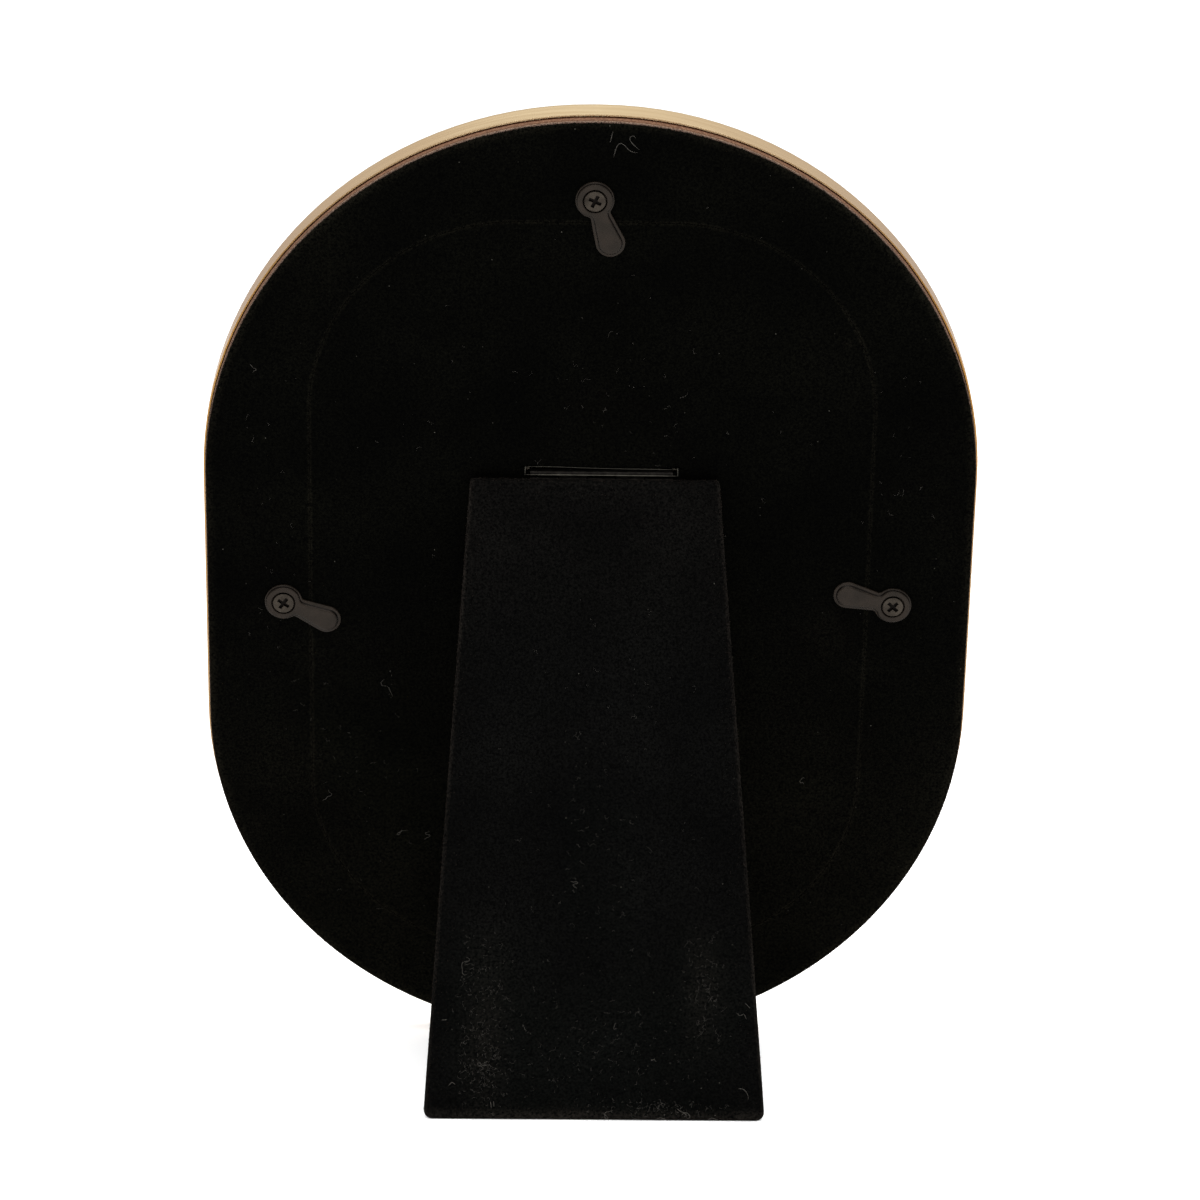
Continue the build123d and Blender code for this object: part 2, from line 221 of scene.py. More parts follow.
def piece(name, shape, body, finish):
    """A mesh in its place, from its bench points and faces: stood up with the body that it rides on,
    touching points merged, faces turned outward."""
    points, faces = shape
    stand = stand_leg if body == "leg" else stand_frame
    mesh = bpy.data.meshes.new(name)
    mesh.from_pydata(stand(points), [], faces.tolist())
    work = bmesh.new()
    work.from_mesh(mesh)
    bmesh.ops.remove_doubles(work, verts=work.verts, dist=0.002 * MM)
    bmesh.ops.dissolve_degenerate(work, edges=work.edges, dist=0.001 * MM)
    bmesh.ops.recalc_face_normals(work, faces=work.faces)
    work.to_mesh(mesh)
    work.free()
    mesh.polygons.foreach_set("use_smooth", np.ones(len(mesh.polygons), bool))
    mesh.materials.append(finish)
    made = bpy.data.objects.new(name, mesh)
    bpy.context.scene.collection.objects.link(made)
    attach(made, body)
    return made


def mark(made, name, measure, leg):
    """Keeps a number at each point of a piece, worked out from the point's place on the bench."""
    points = np.empty(len(made.data.vertices) * 3)
    made.data.vertices.foreach_get("co", points)
    values = measure(on_bench(points.reshape(-1, 3), leg))
    made.data.attributes.new(name, "FLOAT", "POINT").data.foreach_set("value", values.astype(np.float32))


# Materials

def hex_linear(code):
    """An sRGB hex colour as linear light with alpha."""
    srgb = np.array([int(code[i:i + 2], 16) for i in (1, 3, 5)]) / 255
    linear = np.where(srgb <= 0.04045, srgb / 12.92, ((srgb + 0.055) / 1.055) ** 2.4)
    return (*linear.tolist(), 1.0)


def tints(low, high):
    """Two sRGB hex colours for the ends of a mix."""
    return {6: hex_linear(low), 7: hex_linear(high)}


def per_metre(size_mm):
    """Pattern scale for a feature of a size in millimetres."""
    return 1 / (size_mm * MM)


def from_start(start, first, last):
    """The ends of a range that is counted in millimetres from a start, for a range node."""
    return {"From Min": start + first * MM, "From Max": start + last * MM}


def band(low, high):
    """The middle of a band of levels out of the back and half its width, for a compare node."""
    return {1: velvet_level + (low + high) / 2 * MM, 2: (high - low) / 2 * MM}


def feed(tree, node, links):
    """Links sources to a node's sockets. A source is a socket, or a node for its first output in use."""
    for key, source in links.items():
        if isinstance(source, bpy.types.Node):
            source = next(socket for socket in source.outputs if socket.enabled)
        tree.links.new(source, node.inputs[key])


def add(tree, kind, links, values, **settings):
    """Adds one node: settings are its options, values its constant sockets, links the sockets that feed it.
    A Mix node takes its colours at sockets 6 and 7, and its vectors at 4 and 5."""
    made = tree.nodes.new("ShaderNode" + kind)
    for name, value in settings.items():
        setattr(made, name, value)
    for key, value in values.items():
        made.inputs[key].default_value = value
    feed(tree, made, links)
    return made


def new_finish(name, **constants):
    """A material with its shader's constants set, its node tree, its shader, and the link that lays a
    pattern on Object coordinates."""
    made = bpy.data.materials.new(name)
    made.use_nodes = True
    shader = made.node_tree.nodes["Principled BSDF"]
    for key, value in constants.items():
        shader.inputs[key.replace("_", " ")].default_value = value
    place = add(made.node_tree, "TexCoord", {}, {})
    return made, made.node_tree, shader, {"Vector": place.outputs["Object"]}


def brushed_brass():
    """Brass-plated sheet, brushed and lacquered. Brushing runs round the side wall and up the flat border,
    and gives fine streaks, a satin sheen and a broad soft highlight. Light is painted into the colour: the
    walls that face the sides are painted darker and browner than the top as painted shade, the front edge
    and the lower sides are painted greyer as painted reflection, and the sheet's back edge is painted bright
    near the top as a painted highlight."""
    made, tree, shader, spot = new_finish("brushed_brass", Metallic=1.0)
    normal = add(tree, "TexCoord", {}, {}).outputs["Normal"]
    turned = add(tree, "Mapping", spot, {"Rotation": (lean, 0, 0)})
    # the brush lines are about 0.05 mm wide, drawn 0.5 mm wide so that they show
    wall = add(tree, "Mapping", {"Vector": turned},
               {"Scale": (per_metre(30), per_metre(0.5), per_metre(30))})
    border = add(tree, "Mapping", {"Vector": turned},
                 {"Scale": (per_metre(0.8), per_metre(60), per_metre(60))})
    facing = add(tree, "VectorMath", {0: normal}, {1: out_of_back}, operation="DOT_PRODUCT")
    on_border = add(tree, "Math", {0: facing}, {1: -0.7}, operation="LESS_THAN")
    chosen = add(tree, "Mix", {0: on_border, 4: wall, 5: border}, {}, data_type="VECTOR")
    streak = add(tree, "TexNoise", {"Vector": chosen}, {"Scale": 1.0, "Detail": 3.0, "Roughness": 0.6})
    line = add(tree, "MapRange", {"Value": streak}, {"From Min": 0.3, "From Max": 0.7})
    tarnish = add(tree, "TexNoise", spot, {"Scale": per_metre(18), "Detail": 2.0})
    tone = add(tree, "Mix", {0: line}, tints("#b89c6a", "#dac9a4"), data_type="RGBA")
    worn = add(tree, "Mix", {0: tarnish, 6: tone}, {7: hex_linear("#c1a679")}, data_type="RGBA")
    # painted shade: walls that face the sides are painted darker and browner than the top, less so on the
    # border
    upward = add(tree, "VectorMath", {0: normal}, {1: up_the_frame}, operation="DOT_PRODUCT")
    aside = add(tree, "MapRange", {"Value": upward}, {"From Min": 1.0, "From Max": 0.5})
    dull = add(tree, "Math", {0: aside}, {1: 0.48}, operation="POWER")
    spared = add(tree, "Math", {0: on_border}, {1: -0.8, 2: 1.0}, operation="MULTIPLY_ADD")
    side_shade_share = add(tree, "Math", {0: dull, 1: spared}, {}, operation="MULTIPLY")
    side_shaded = add(tree, "Mix", {0: side_shade_share, 6: worn}, {7: hex_linear("#c6a97c")},
               data_type="RGBA", blend_type="MULTIPLY")
    level = add(tree, "VectorMath", {0: spot["Vector"]}, {1: out_of_back}, operation="DOT_PRODUCT")
    # painted reflection: near the front edge the wall is painted greyer; front and handled carry its share,
    # less on the border
    front = add(tree, "MapRange", {"Value": level},
                {**from_start(velvet_level, *FRONT_EDGE_REFLECTION), "To Min": 0.75, "To Max": 0.0})
    handled = add(tree, "Math", {0: front, 1: spared}, {}, operation="MULTIPLY")
    front_reflected = add(tree, "Mix", {0: handled, 6: side_shaded}, {7: hex_linear("#9c9484")}, data_type="RGBA")
    height = add(tree, "VectorMath", {0: spot["Vector"]}, {1: up_the_frame}, operation="DOT_PRODUCT")
    # painted reflection: low on the sides the wall is painted paler grey
    painted_low_down = add(tree, "MapRange", {"Value": height},
                   {**from_start(rim_bottom, *LOW_SIDE_REFLECTION), "To Max": 0.35})
    low_reflection = add(tree, "Math", {0: painted_low_down, 1: spared}, {}, operation="MULTIPLY")
    low_reflected = add(tree, "Mix", {0: low_reflection, 6: front_reflected}, {7: hex_linear("#a3957f")}, data_type="RGBA")
    # painted highlight: the sheet's back edge is painted bright, most near the top; rubbed here is the
    # highlight's fall-off
    on_edge = add(tree, "Math", {0: facing}, {1: 0.7}, operation="GREATER_THAN")
    highlight_rise = add(tree, "MapRange", {"Value": height}, from_start(rim_bottom, *BACK_EDGE_HIGHLIGHT))
    rubbed = add(tree, "Math", {0: highlight_rise}, {1: 3.0}, operation="POWER")
    painted_edge_highlight = add(tree, "Math", {0: on_edge, 1: rubbed}, {}, operation="MULTIPLY")
    edged = add(tree, "Mix", {0: painted_edge_highlight, 6: low_reflected}, {7: hex_linear("#ecd8ae")}, data_type="RGBA")
    gloss = add(tree, "MapRange", {"Value": streak}, {"To Min": 0.26, "To Max": 0.44})
    relief = add(tree, "Bump", {"Height": streak}, {"Strength": 0.12, "Distance": 0.02 * MM})
    feed(tree, shader, {"Base Color": edged, "Roughness": gloss, "Normal": relief})
    return made


def flock_velvet(name, deep, raised, brushed):
    """Black velvet, a dense short pile on a woven back. It swallows light face on, shows fine clumps of
    fibre, paler where the pile is brushed and where painted light is laid on, brown where a ragged cut
    edge shows the back, a faint bloom along edges, and dust."""
    made, tree, shader, spot = new_finish(name, Roughness=1.0, Specular_IOR_Level=0.0, Sheen_Weight=0.02,
                                          Sheen_Roughness=0.35, Sheen_Tint=hex_linear("#b9b4ad"))
    # tufts of pile are about 0.2 mm wide, drawn 0.45 mm wide so that they show
    clump = add(tree, "TexNoise", spot, {"Scale": per_metre(0.45), "Detail": 3.0, "Roughness": 0.7})
    drift = add(tree, "TexNoise", spot, {"Scale": per_metre(22), "Detail": 2.0})
    tuft = add(tree, "MapRange", {"Value": clump}, {"From Min": 0.37, "From Max": 0.73})
    wave = add(tree, "MapRange", {"Value": drift}, {"From Min": 0.3, "From Max": 0.75, "To Min": 0.35})
    shade = add(tree, "Math", {0: tuft, 1: wave}, {}, operation="MULTIPLY")
    pile = add(tree, "Mix", {0: shade}, tints(deep, raised), data_type="RGBA")
    # the point attribute read here holds brushed pile and painted light together, and the brushed colour
    # paints both
    nap_and_light = add(tree, "Attribute", {}, {}, attribute_name="nap_and_light")
    pale_share = add(tree, "Math", {0: nap_and_light.outputs["Fac"], 1: shade}, {}, operation="MULTIPLY")
    paled_pile = add(tree, "Mix", {0: pale_share, 6: pile}, {7: hex_linear(brushed)}, data_type="RGBA")
    # dust lies about 2 mm apart; a speck is 0.1 mm, drawn 0.2 mm wide so that it shows
    cell = add(tree, "TexVoronoi", spot, {"Scale": per_metre(2.2)})
    near = add(tree, "MapRange", {"Value": cell.outputs["Distance"]},
               {"From Min": 0.02, "From Max": 0.06, "To Min": 1.0, "To Max": 0.0})
    pick = add(tree, "SeparateColor", {"Color": cell.outputs["Color"]}, {})
    rare = add(tree, "MapRange", {"Value": pick}, {"From Min": 0.7, "From Max": 1.0})
    dust = add(tree, "Math", {0: near, 1: rare}, {}, operation="MULTIPLY")
    dusted = add(tree, "Mix", {0: dust, 6: paled_pile}, {7: hex_linear("#4c4a44")}, data_type="RGBA")
    cut = add(tree, "Attribute", {}, {}, attribute_name="cut")
    thread = add(tree, "MapRange", {"Value": clump}, {"From Min": 0.4, "From Max": 0.6})
    weave = add(tree, "Mix", {0: thread}, tints("#33261f", "#857064"), data_type="RGBA")
    tooth = add(tree, "Math", {0: tuft}, {1: 0.7, 2: 0.15}, operation="MULTIPLY_ADD")
    over = add(tree, "Math", {0: cut.outputs["Fac"], 1: tooth}, {}, operation="SUBTRACT")
    ragged = add(tree, "MapRange", {"Value": over}, {"From Min": -0.1, "From Max": 0.1})
    edged = add(tree, "Mix", {0: ragged, 6: dusted, 7: weave}, {}, data_type="RGBA")
    relief = add(tree, "Bump", {"Height": clump}, {"Strength": 0.5, "Distance": 0.15 * MM})
    feed(tree, shader, {"Base Color": edged, "Normal": relief})
    return made


def loose_fibre(name, shade, tip):
    """Loose fibre and lint: matt threads, each a little paler or darker along its length."""
    made, tree, shader, spot = new_finish(name, Roughness=0.9, Specular_IOR_Level=0.1)
    vary = add(tree, "TexNoise", spot, {"Scale": per_metre(0.9), "Detail": 1.0})
    tone = add(tree, "Mix", {0: vary}, tints(shade, tip), data_type="RGBA")
    feed(tree, shader, {"Base Color": tone})
    return made


def bare_fibreboard():
    """Medium-density fibreboard with a bare sawn edge: mauve-brown matted fibre, speckled and furry,
    dark along the line of glue, and greyer where the velvet's fibre clings. Down in the gap beside the
    metal it is painted dark brown as painted shade."""
    made, tree, shader, spot = new_finish("bare_fibreboard", Roughness=0.95, Specular_IOR_Level=0.1)
    # the fibres are about 0.1 mm thick, drawn 0.45 mm wide so that they show
    fibre = add(tree, "TexNoise", spot, {"Scale": per_metre(0.45), "Detail": 4.0, "Roughness": 0.75})
    speckle = add(tree, "MapRange", {"Value": fibre}, {"From Min": 0.38, "From Max": 0.62})
    flake = add(tree, "TexNoise", spot, {"Scale": per_metre(3), "Detail": 2.0})
    tone = add(tree, "Mix", {0: speckle}, tints("#402b1f", "#7b5b46"), data_type="RGBA")
    patch = add(tree, "MapRange", {"Value": flake}, {"To Max": 0.5})
    mottled = add(tree, "Mix", {0: patch, 6: tone}, {7: hex_linear("#5d4333")}, data_type="RGBA")
    fluff = add(tree, "Mix", {0: speckle}, tints("#3a2a22", "#83705f"), data_type="RGBA")
    level = add(tree, "VectorMath", {0: spot["Vector"]}, {1: out_of_back}, operation="DOT_PRODUCT")
    clinging = add(tree, "MapRange", {"Value": level},
                   {**from_start(velvet_level, *FURRED_BOARD), "To Max": 0.85})
    furred = add(tree, "Mix", {0: clinging, 6: mottled, 7: fluff}, {}, data_type="RGBA")
    # painted shade: down in the gap beside the metal the board is painted dark brown
    painted_gap_shade = add(tree, "MapRange", {"Value": level},
                 {**from_start(velvet_level, *GAP_SHADE_LEVELS), "To Min": 1.0, "To Max": 0.0})
    depth = add(tree, "Math", {0: level}, band(*GLUE_LINE), operation="COMPARE")
    glue = add(tree, "Math", {0: depth}, {1: 0.55}, operation="MULTIPLY")
    dark = add(tree, "Math", {0: painted_gap_shade, 1: glue}, {}, operation="MAXIMUM")
    edge = add(tree, "Mix", {0: dark, 6: furred}, {7: hex_linear("#321705")}, data_type="RGBA")
    relief = add(tree, "Bump", {"Height": fibre}, {"Strength": 0.7, "Distance": 0.25 * MM})
    feed(tree, shader, {"Base Color": edge, "Normal": relief})
    return made


def satin_enamel(name, low, high, shine, crease):
    """Stamped or turned steel under black baked enamel: warm black, satin, with a slight orange-peel
    surface. Between two levels, in a crease or below a screw's face, it is painted near-black as painted
    shade."""
    made, tree, shader, spot = new_finish(name, Specular_IOR_Level=shine,
                                          Specular_Tint=hex_linear("#fff0e2"))
    peel = add(tree, "TexNoise", spot, {"Scale": per_metre(0.5), "Detail": 2.0})
    rub = add(tree, "TexNoise", spot, {"Scale": per_metre(2.5), "Detail": 3.0})
    patch = add(tree, "MapRange", {"Value": rub}, {"From Min": 0.35, "From Max": 0.65})
    tone = add(tree, "Mix", {0: patch}, tints(low, high), data_type="RGBA")
    level = add(tree, "VectorMath", {0: spot["Vector"]}, {1: out_of_back}, operation="DOT_PRODUCT")
    # painted shade: between the two levels the enamel is painted near-black
    shade_band = add(tree, "Math", {0: level}, band(*crease), operation="COMPARE")
    shade_painted = add(tree, "Mix", {0: shade_band, 6: tone}, {7: hex_linear("#040303")}, data_type="RGBA")
    gloss = add(tree, "MapRange", {"Value": rub}, {"To Min": 0.3, "To Max": 0.46})
    relief = add(tree, "Bump", {"Height": peel}, {"Strength": 0.06, "Distance": 0.05 * MM})
    feed(tree, shader, {"Base Color": shade_painted, "Roughness": gloss, "Normal": relief})
    return made


def black_oxide(name, dark, worn):
    """Blackened steel: dark metal with a dull shine, rubbed to grey in small patches."""
    made, tree, shader, spot = new_finish(name, Metallic=1.0)
    rub = add(tree, "TexNoise", spot, {"Scale": per_metre(0.9), "Detail": 4.0, "Roughness": 0.65})
    patch = add(tree, "MapRange", {"Value": rub}, {"From Min": 0.4, "From Max": 0.72})
    tone = add(tree, "Mix", {0: patch}, tints(dark, worn), data_type="RGBA")
    gloss = add(tree, "MapRange", {"Value": rub}, {"To Min": 0.3, "To Max": 0.55})
    feed(tree, shader, {"Base Color": tone, "Roughness": gloss})
    return made


def picture_glass():
    """Clear float glass, polished, with the faint uneven film that handling leaves."""
    made, tree, shader, spot = new_finish("picture_glass", Transmission_Weight=1.0, IOR=1.5,
                                          Base_Color=hex_linear("#fcfdfc"))
    film = add(tree, "TexNoise", spot, {"Scale": per_metre(14), "Detail": 3.0})
    gloss = add(tree, "MapRange", {"Value": film}, {"From Min": 0.5, "To Min": 0.0, "To Max": 0.02})
    feed(tree, shader, {"Roughness": gloss})
    return made


def plain_paper(name, low, high):
    """Uncoated paper or card: matt, with a fine tooth and a faint cloud of fibre."""
    made, tree, shader, spot = new_finish(name, Roughness=0.9, Specular_IOR_Level=0.2)
    # paper's tooth is about 0.1 mm, drawn 0.35 mm wide so that it shows
    tooth = add(tree, "TexNoise", spot, {"Scale": per_metre(0.35), "Detail": 3.0})
    cloud = add(tree, "TexNoise", spot, {"Scale": per_metre(9), "Detail": 3.0})
    both = add(tree, "Math", {0: tooth, 1: cloud}, {}, operation="MULTIPLY")
    depth = add(tree, "MapRange", {"Value": both}, {"From Min": 0.12, "From Max": 0.42})
    tone = add(tree, "Mix", {0: depth}, tints(low, high), data_type="RGBA")
    relief = add(tree, "Bump", {"Height": tooth}, {"Strength": 0.15, "Distance": 0.05 * MM})
    feed(tree, shader, {"Base Color": tone, "Normal": relief})
    return made


back_pile = flock_velvet("black_velvet_back", "#020202", "#0b0b08", "#1c1a14")
leg_pile = flock_velvet("black_velvet_leg", "#030303", "#0f0f0e", "#2c2824")
black_fibre = loose_fibre("velvet_fibre", "#0d0c0c", "#292623")
leg_fibre = loose_fibre("leg_edge_fibre", "#181310", "#3a302a")
brown_fibre = loose_fibre("board_fibre", "#4a362d", "#a08273")
grey_lint = loose_fibre("grey_lint", "#3a3733", "#6d6963")
# the slot's cut edge, whose lower strand is a painted highlight
backing_and_highlight = loose_fibre("cut_velvet_backing_and_highlight", "#302e28", "#5e5b53")
enamel = satin_enamel("satin_enamel", "#110e0b", "#1b1612", 0.13, BUTTON_CREASE)
cad_finishes = {
    "front_rim": brushed_brass(),
    "ring_board": bare_fibreboard(),
    "insert_card": plain_paper("ivory_card", "#e4dccb", "#efe8da"),
    "filler_board": plain_paper("grey_board", "#7d7466", "#a0968a"),
    "hinge_panel_leaf": black_oxide("blackened_hinge_steel", "#1b1918", "#33302c"),
    "hinge_panel_rivets": black_oxide("rivet_steel", "#77746f", "#a9a6a0"),
    "turn_button_screws": satin_enamel("screw_enamel", "#24201c", "#37322c", 0.04, BELOW_SCREW_FACE),
    "leg_lining": plain_paper("black_lining_paper", "#0c0b0b", "#1a1918"),
}
cad_finishes["panel_board"] = cad_finishes["leg_board"] = cad_finishes["ring_board"]
cad_finishes["hinge_leg_leaf"] = cad_finishes["hinge_panel_leaf"]
cad_finishes["hinge_leg_rivets"] = cad_finishes["hinge_pin"] = cad_finishes["hinge_panel_rivets"]
for node_name, finish in cad_finishes.items():
    slots = frame["nodes"][node_name].data.materials
    slots.clear()
    slots.append(finish)


# Velvet on the ring and on the removable back

# Each edge's section as insets and levels, from the glued side up to the flat: the pile's edge rolls over
# a quarter circle. A cut edge stops at the board's edge. A tucked one hangs over it and goes down the wall
# of a gap.
quarter = np.radians(np.linspace(0, 90, 6))
rolled = np.column_stack([PILE_ROLL * (1 - np.cos(quarter)), PILE_ROLL * (np.sin(quarter) - 1)])
flat_start = [(PILE_ROLL + 0.1, 0)]
cut_section = np.vstack([[(0, -VELVET)], rolled, flat_start, [(0.58, 0), (0.85, 0), (1.4, 0), (2.0, 0)]])


def tucked_section(tuck):
    """The section of an edge that hangs over its board by a tuck."""
    wall = [(-0.01, -VELVET), (-0.01, -TUCK_DEPTH), (-tuck, -TUCK_DEPTH)]
    return np.vstack([wall, rolled - [tuck, 0], flat_start])


def velvet_plate(outer, outer_section, inner, inner_section, across):
    """A velvet layer between an outer and an inner outline, as one closed skin of rows.
    The rows follow the outer edge's section up, run flat to the inner edge and follow its section down;
    the underside closes the skin. In the flat run a point is the straight mix of the two outlines' points
    with the same number."""
    outer_rows = [at_level(outer[0] - inset * outer[1], level) for inset, level in outer_section]
    inner_rows = [at_level(inner[0] + inset * inner[1], level) for inset, level in inner_section]
    shares = np.linspace(0, 1, across + 1)[1:-1, None, None]
    flat_rows = outer_rows[-1] * (1 - shares) + inner_rows[-1] * shares
    return np.array([*outer_rows, *flat_rows, *inner_rows[::-1]])


frame_middle = (0, RIM_HEIGHT / 2)
panel_width = RIM_WIDTH - 2 * BORDER_WIDTH
panel_height = RIM_HEIGHT - 2 * BORDER_WIDTH
ring_width = RIM_WIDTH - 2 * RING_INSET
ring_height = RIM_HEIGHT - 2 * RING_INSET
ring_radius = (RIM_WIDTH - RIM_END_FLAT) / 2 - RING_INSET
ring_edge = box_loop(ring_width, ring_height, ring_radius, frame_middle, 560)
ring_opening = box_loop(panel_width + 2 * SEAM_GAP, panel_height + 2 * SEAM_GAP, PANEL_CORNER + SEAM_GAP,
                        frame_middle, 560)
panel_edge = box_loop(panel_width, panel_height, PANEL_CORNER, frame_middle, 480)
slot_edge = box_loop(SLOT_WIDTH, SLOT_HEIGHT, SLOT_CORNER, (HINGE_SHIFT, SLOT_MIDDLE), 480)


def box_distance(bench, width, height, radius):
    """Distance from a round-cornered box about the frame's middle, below zero inside: the length of what
    sticks out past the corner centres, less the corner radius."""
    past = np.abs(bench[:, :2] - frame_middle) - (np.array([width, height]) / 2 - radius)
    return np.linalg.norm(np.maximum(past, 0), axis=1) + np.minimum(past.max(1), 0) - radius


def blot(bench, x, y, wide, tall):
    """A soft patch, 1 at its middle, falling off as a bell over its width and height."""
    return np.exp(-((bench[:, 0] - x) / wide) ** 2 - ((bench[:, 1] - y) / tall) ** 2)


def back_nap_and_light(bench):
    """How pale the back's pile is: brushed along the seam and in a few rubbed patches and dents, and
    painted light along the outer edge and low down behind the leg."""
    off_seam = np.abs(box_distance(bench, panel_width, panel_height, PANEL_CORNER) - SEAM_GAP / 2)
    seam = 0.6 * smooth(-off_seam, -0.5, -0.15) * (bench[:, 2] > -0.5)
    # painted light: a pale band along the outer edge
    rim = 0.7 * smooth(box_distance(bench, ring_width, ring_height, ring_radius), -2.0, -0.3)
    rubbed = 0.2 * blot(bench, -53.5, 175, 6, 14) + 0.25 * blot(bench, 48, 95, 4, 5)
    # painted light: brighter low down, behind the leg
    painted_low_down = 0.3 * smooth(-bench[:, 1], -110, -30)
    dents = 0.9 * blot(bench, 49.4, 157.5, 0.6, 0.6)
    return np.clip(seam + rim + rubbed + painted_low_down + dents, 0, 1.5)


def back_cut(bench):
    """How far the velvet's cut edge shows its woven back: all round the ring's outer edge and over its
    roll."""
    inside = -box_distance(bench, ring_width, ring_height, ring_radius)
    return 1 - smooth(inside, -0.35, 0.4)


def leg_nap_and_light(bench):
    """How pale the leg's pile is: brushed in two handled bands low on its sides; a painted highlight along
    its edges; painted light over its top; and at its foot a pale band, partly dust and partly a painted
    highlight on the rounded lower edge."""
    y = bench[:, 1]
    side = leg_half(y) - np.abs(bench[:, 0] - leg_middle(y))
    handled = 0.22 * blot(bench, -20, 18, 4, 18) + 0.2 * blot(bench, 23, 29, 3.5, 11)
    # painted light over the top; at the foot a pale band, partly dust and partly a painted highlight on the
    # rounded edge
    ends = 0.12 * smooth(y, 85, LEG_TOP) + 0.75 * smooth(-y, -LEG_FOOT - 2.2, -LEG_FOOT - 0.4)
    # the share along the edges is a painted highlight on the rounded edges
    return np.clip(0.7 * smooth(-side, -0.9, -0.1) + handled + ends, 0, 1.5)


# Leg

def leg_half(y):
    """Half the leg's width at a height: it widens evenly from the top to the foot."""
    taper = (LEG_FOOT_WIDTH - LEG_TOP_WIDTH) / (LEG_TOP - LEG_FOOT)
    return (LEG_TOP_WIDTH + taper * (LEG_TOP - y)) / 2


def leg_middle(y):
    """The leg's middle line, which slants a little from the top to the foot."""
    skew = (LEG_FOOT_SHIFT - LEG_TOP_SHIFT) / (LEG_TOP - LEG_FOOT)
    return LEG_TOP_SHIFT + skew * (LEG_TOP - y)


def leg_outline(count):
    """The leg's outline about its own middle line: four corners, each rounded by an arc that touches both
    sides."""
    tilt = math.degrees(math.atan2((LEG_FOOT_WIDTH - LEG_TOP_WIDTH) / 2, LEG_TOP - LEG_FOOT))
    slant = math.cos(math.radians(tilt))
    foot_y = LEG_FOOT + LEG_FOOT_CORNER
    top_y = LEG_TOP - LEG_TOP_CORNER
    foot_x = leg_half(foot_y) - LEG_FOOT_CORNER / slant
    top_x = leg_half(top_y) - LEG_TOP_CORNER / slant
    return arc_loop([
        (foot_x, foot_y, LEG_FOOT_CORNER, -90, tilt),
        (top_x, top_y, LEG_TOP_CORNER, tilt, 90),
        (-top_x, top_y, LEG_TOP_CORNER, 90, 180 - tilt),
        (-foot_x, foot_y, LEG_FOOT_CORNER, 180 - tilt, 270),
    ], count)[0]


def leg_row(outline, inset, level, notch_inset):
    """The leg's outline drawn in by an inset at a level: its height and its width are both scaled to
    lose the inset. The foot follows the floor's slope, and the top edge stays clear of the hinge."""
    y = outline[:, 1]
    at_hinge = (np.abs(outline[:, 0] + LEG_TOP_SHIFT - HINGE_SHIFT) < HINGE_ROOM / 2) & (y > LEG_TOP - 0.5)
    cut = at_hinge & (np.broadcast_to(level, len(y)) < LEG_NOTCH_LEVEL)
    inset = np.where(cut, np.minimum(inset, notch_inset), inset)
    level = np.where(cut, LEG_NOTCH_LEVEL, level)
    length = LEG_TOP - LEG_FOOT
    drawn_y = LEG_FOOT + inset + (y - LEG_FOOT) * (length - 2 * inset) / length
    drawn_x = outline[:, 0] * (leg_half(drawn_y) - inset) / leg_half(y) + leg_middle(drawn_y)
    near_foot = 1 - smooth(y, LEG_FOOT, LEG_FOOT + 8)
    return np.column_stack([drawn_x, drawn_y - foot_slope * (level - LEG_INSIDE) * near_foot, level])


def leg_cover_rows():
    """The leg's velvet as one closed skin of rows: from the middle of the outer face out over its rounded
    edge, down the side, round to the inside, in to the turned-in edge, and back inside the cloth to the
    middle."""
    outline = leg_outline(720)
    y = outline[:, 1]
    foot_share = 1 - smooth(y, LEG_FOOT + 1, LEG_FOOT + 4)
    rounding = LEG_ROUNDING + LEG_FOOT_ROUNDING * foot_share
    roll = np.radians(np.linspace(90, 0, 9))
    edge = [leg_row(outline, rounding * (1 - math.cos(a)), LEG_OUTSIDE - rounding * (1 - math.sin(a)), 0)
            for a in roll]
    centre_y = (LEG_TOP + LEG_FOOT) / 2
    middle_y = centre_y + (y - centre_y) * 0.6
    middle_line = np.column_stack([leg_middle(middle_y), middle_y])
    shares = np.linspace(1, 0, LEG_FACE_ROWS + 1)[:-1]
    face = [edge[0] * (1 - share) + at_level(middle_line, LEG_OUTSIDE) * share for share in shares]
    sections = [(0, 1.2, 0), (0.05, 0.75, 0), (0.2, 0.45, 0), (0.5, LEG_INSIDE, 0), (3, LEG_INSIDE, 0),
                (LEG_TURN_IN, LEG_INSIDE, 0), (LEG_TURN_IN, LEG_INSIDE + VELVET, VELVET),
                (1.2, LEG_INSIDE + VELVET, VELVET), (VELVET, LEG_INSIDE + 2 * VELVET, VELVET),
                (VELVET, LEG_OUTSIDE - 1.6, VELVET)]
    turned = [leg_row(outline, inset, level, notch) for inset, level, notch in sections]
    inner_edge = leg_row(outline, rounding + 0.2, LEG_OUTSIDE - VELVET, VELVET)
    return np.array([*face, *edge, *turned, inner_edge, at_level(middle_line, LEG_OUTSIDE - VELVET)])


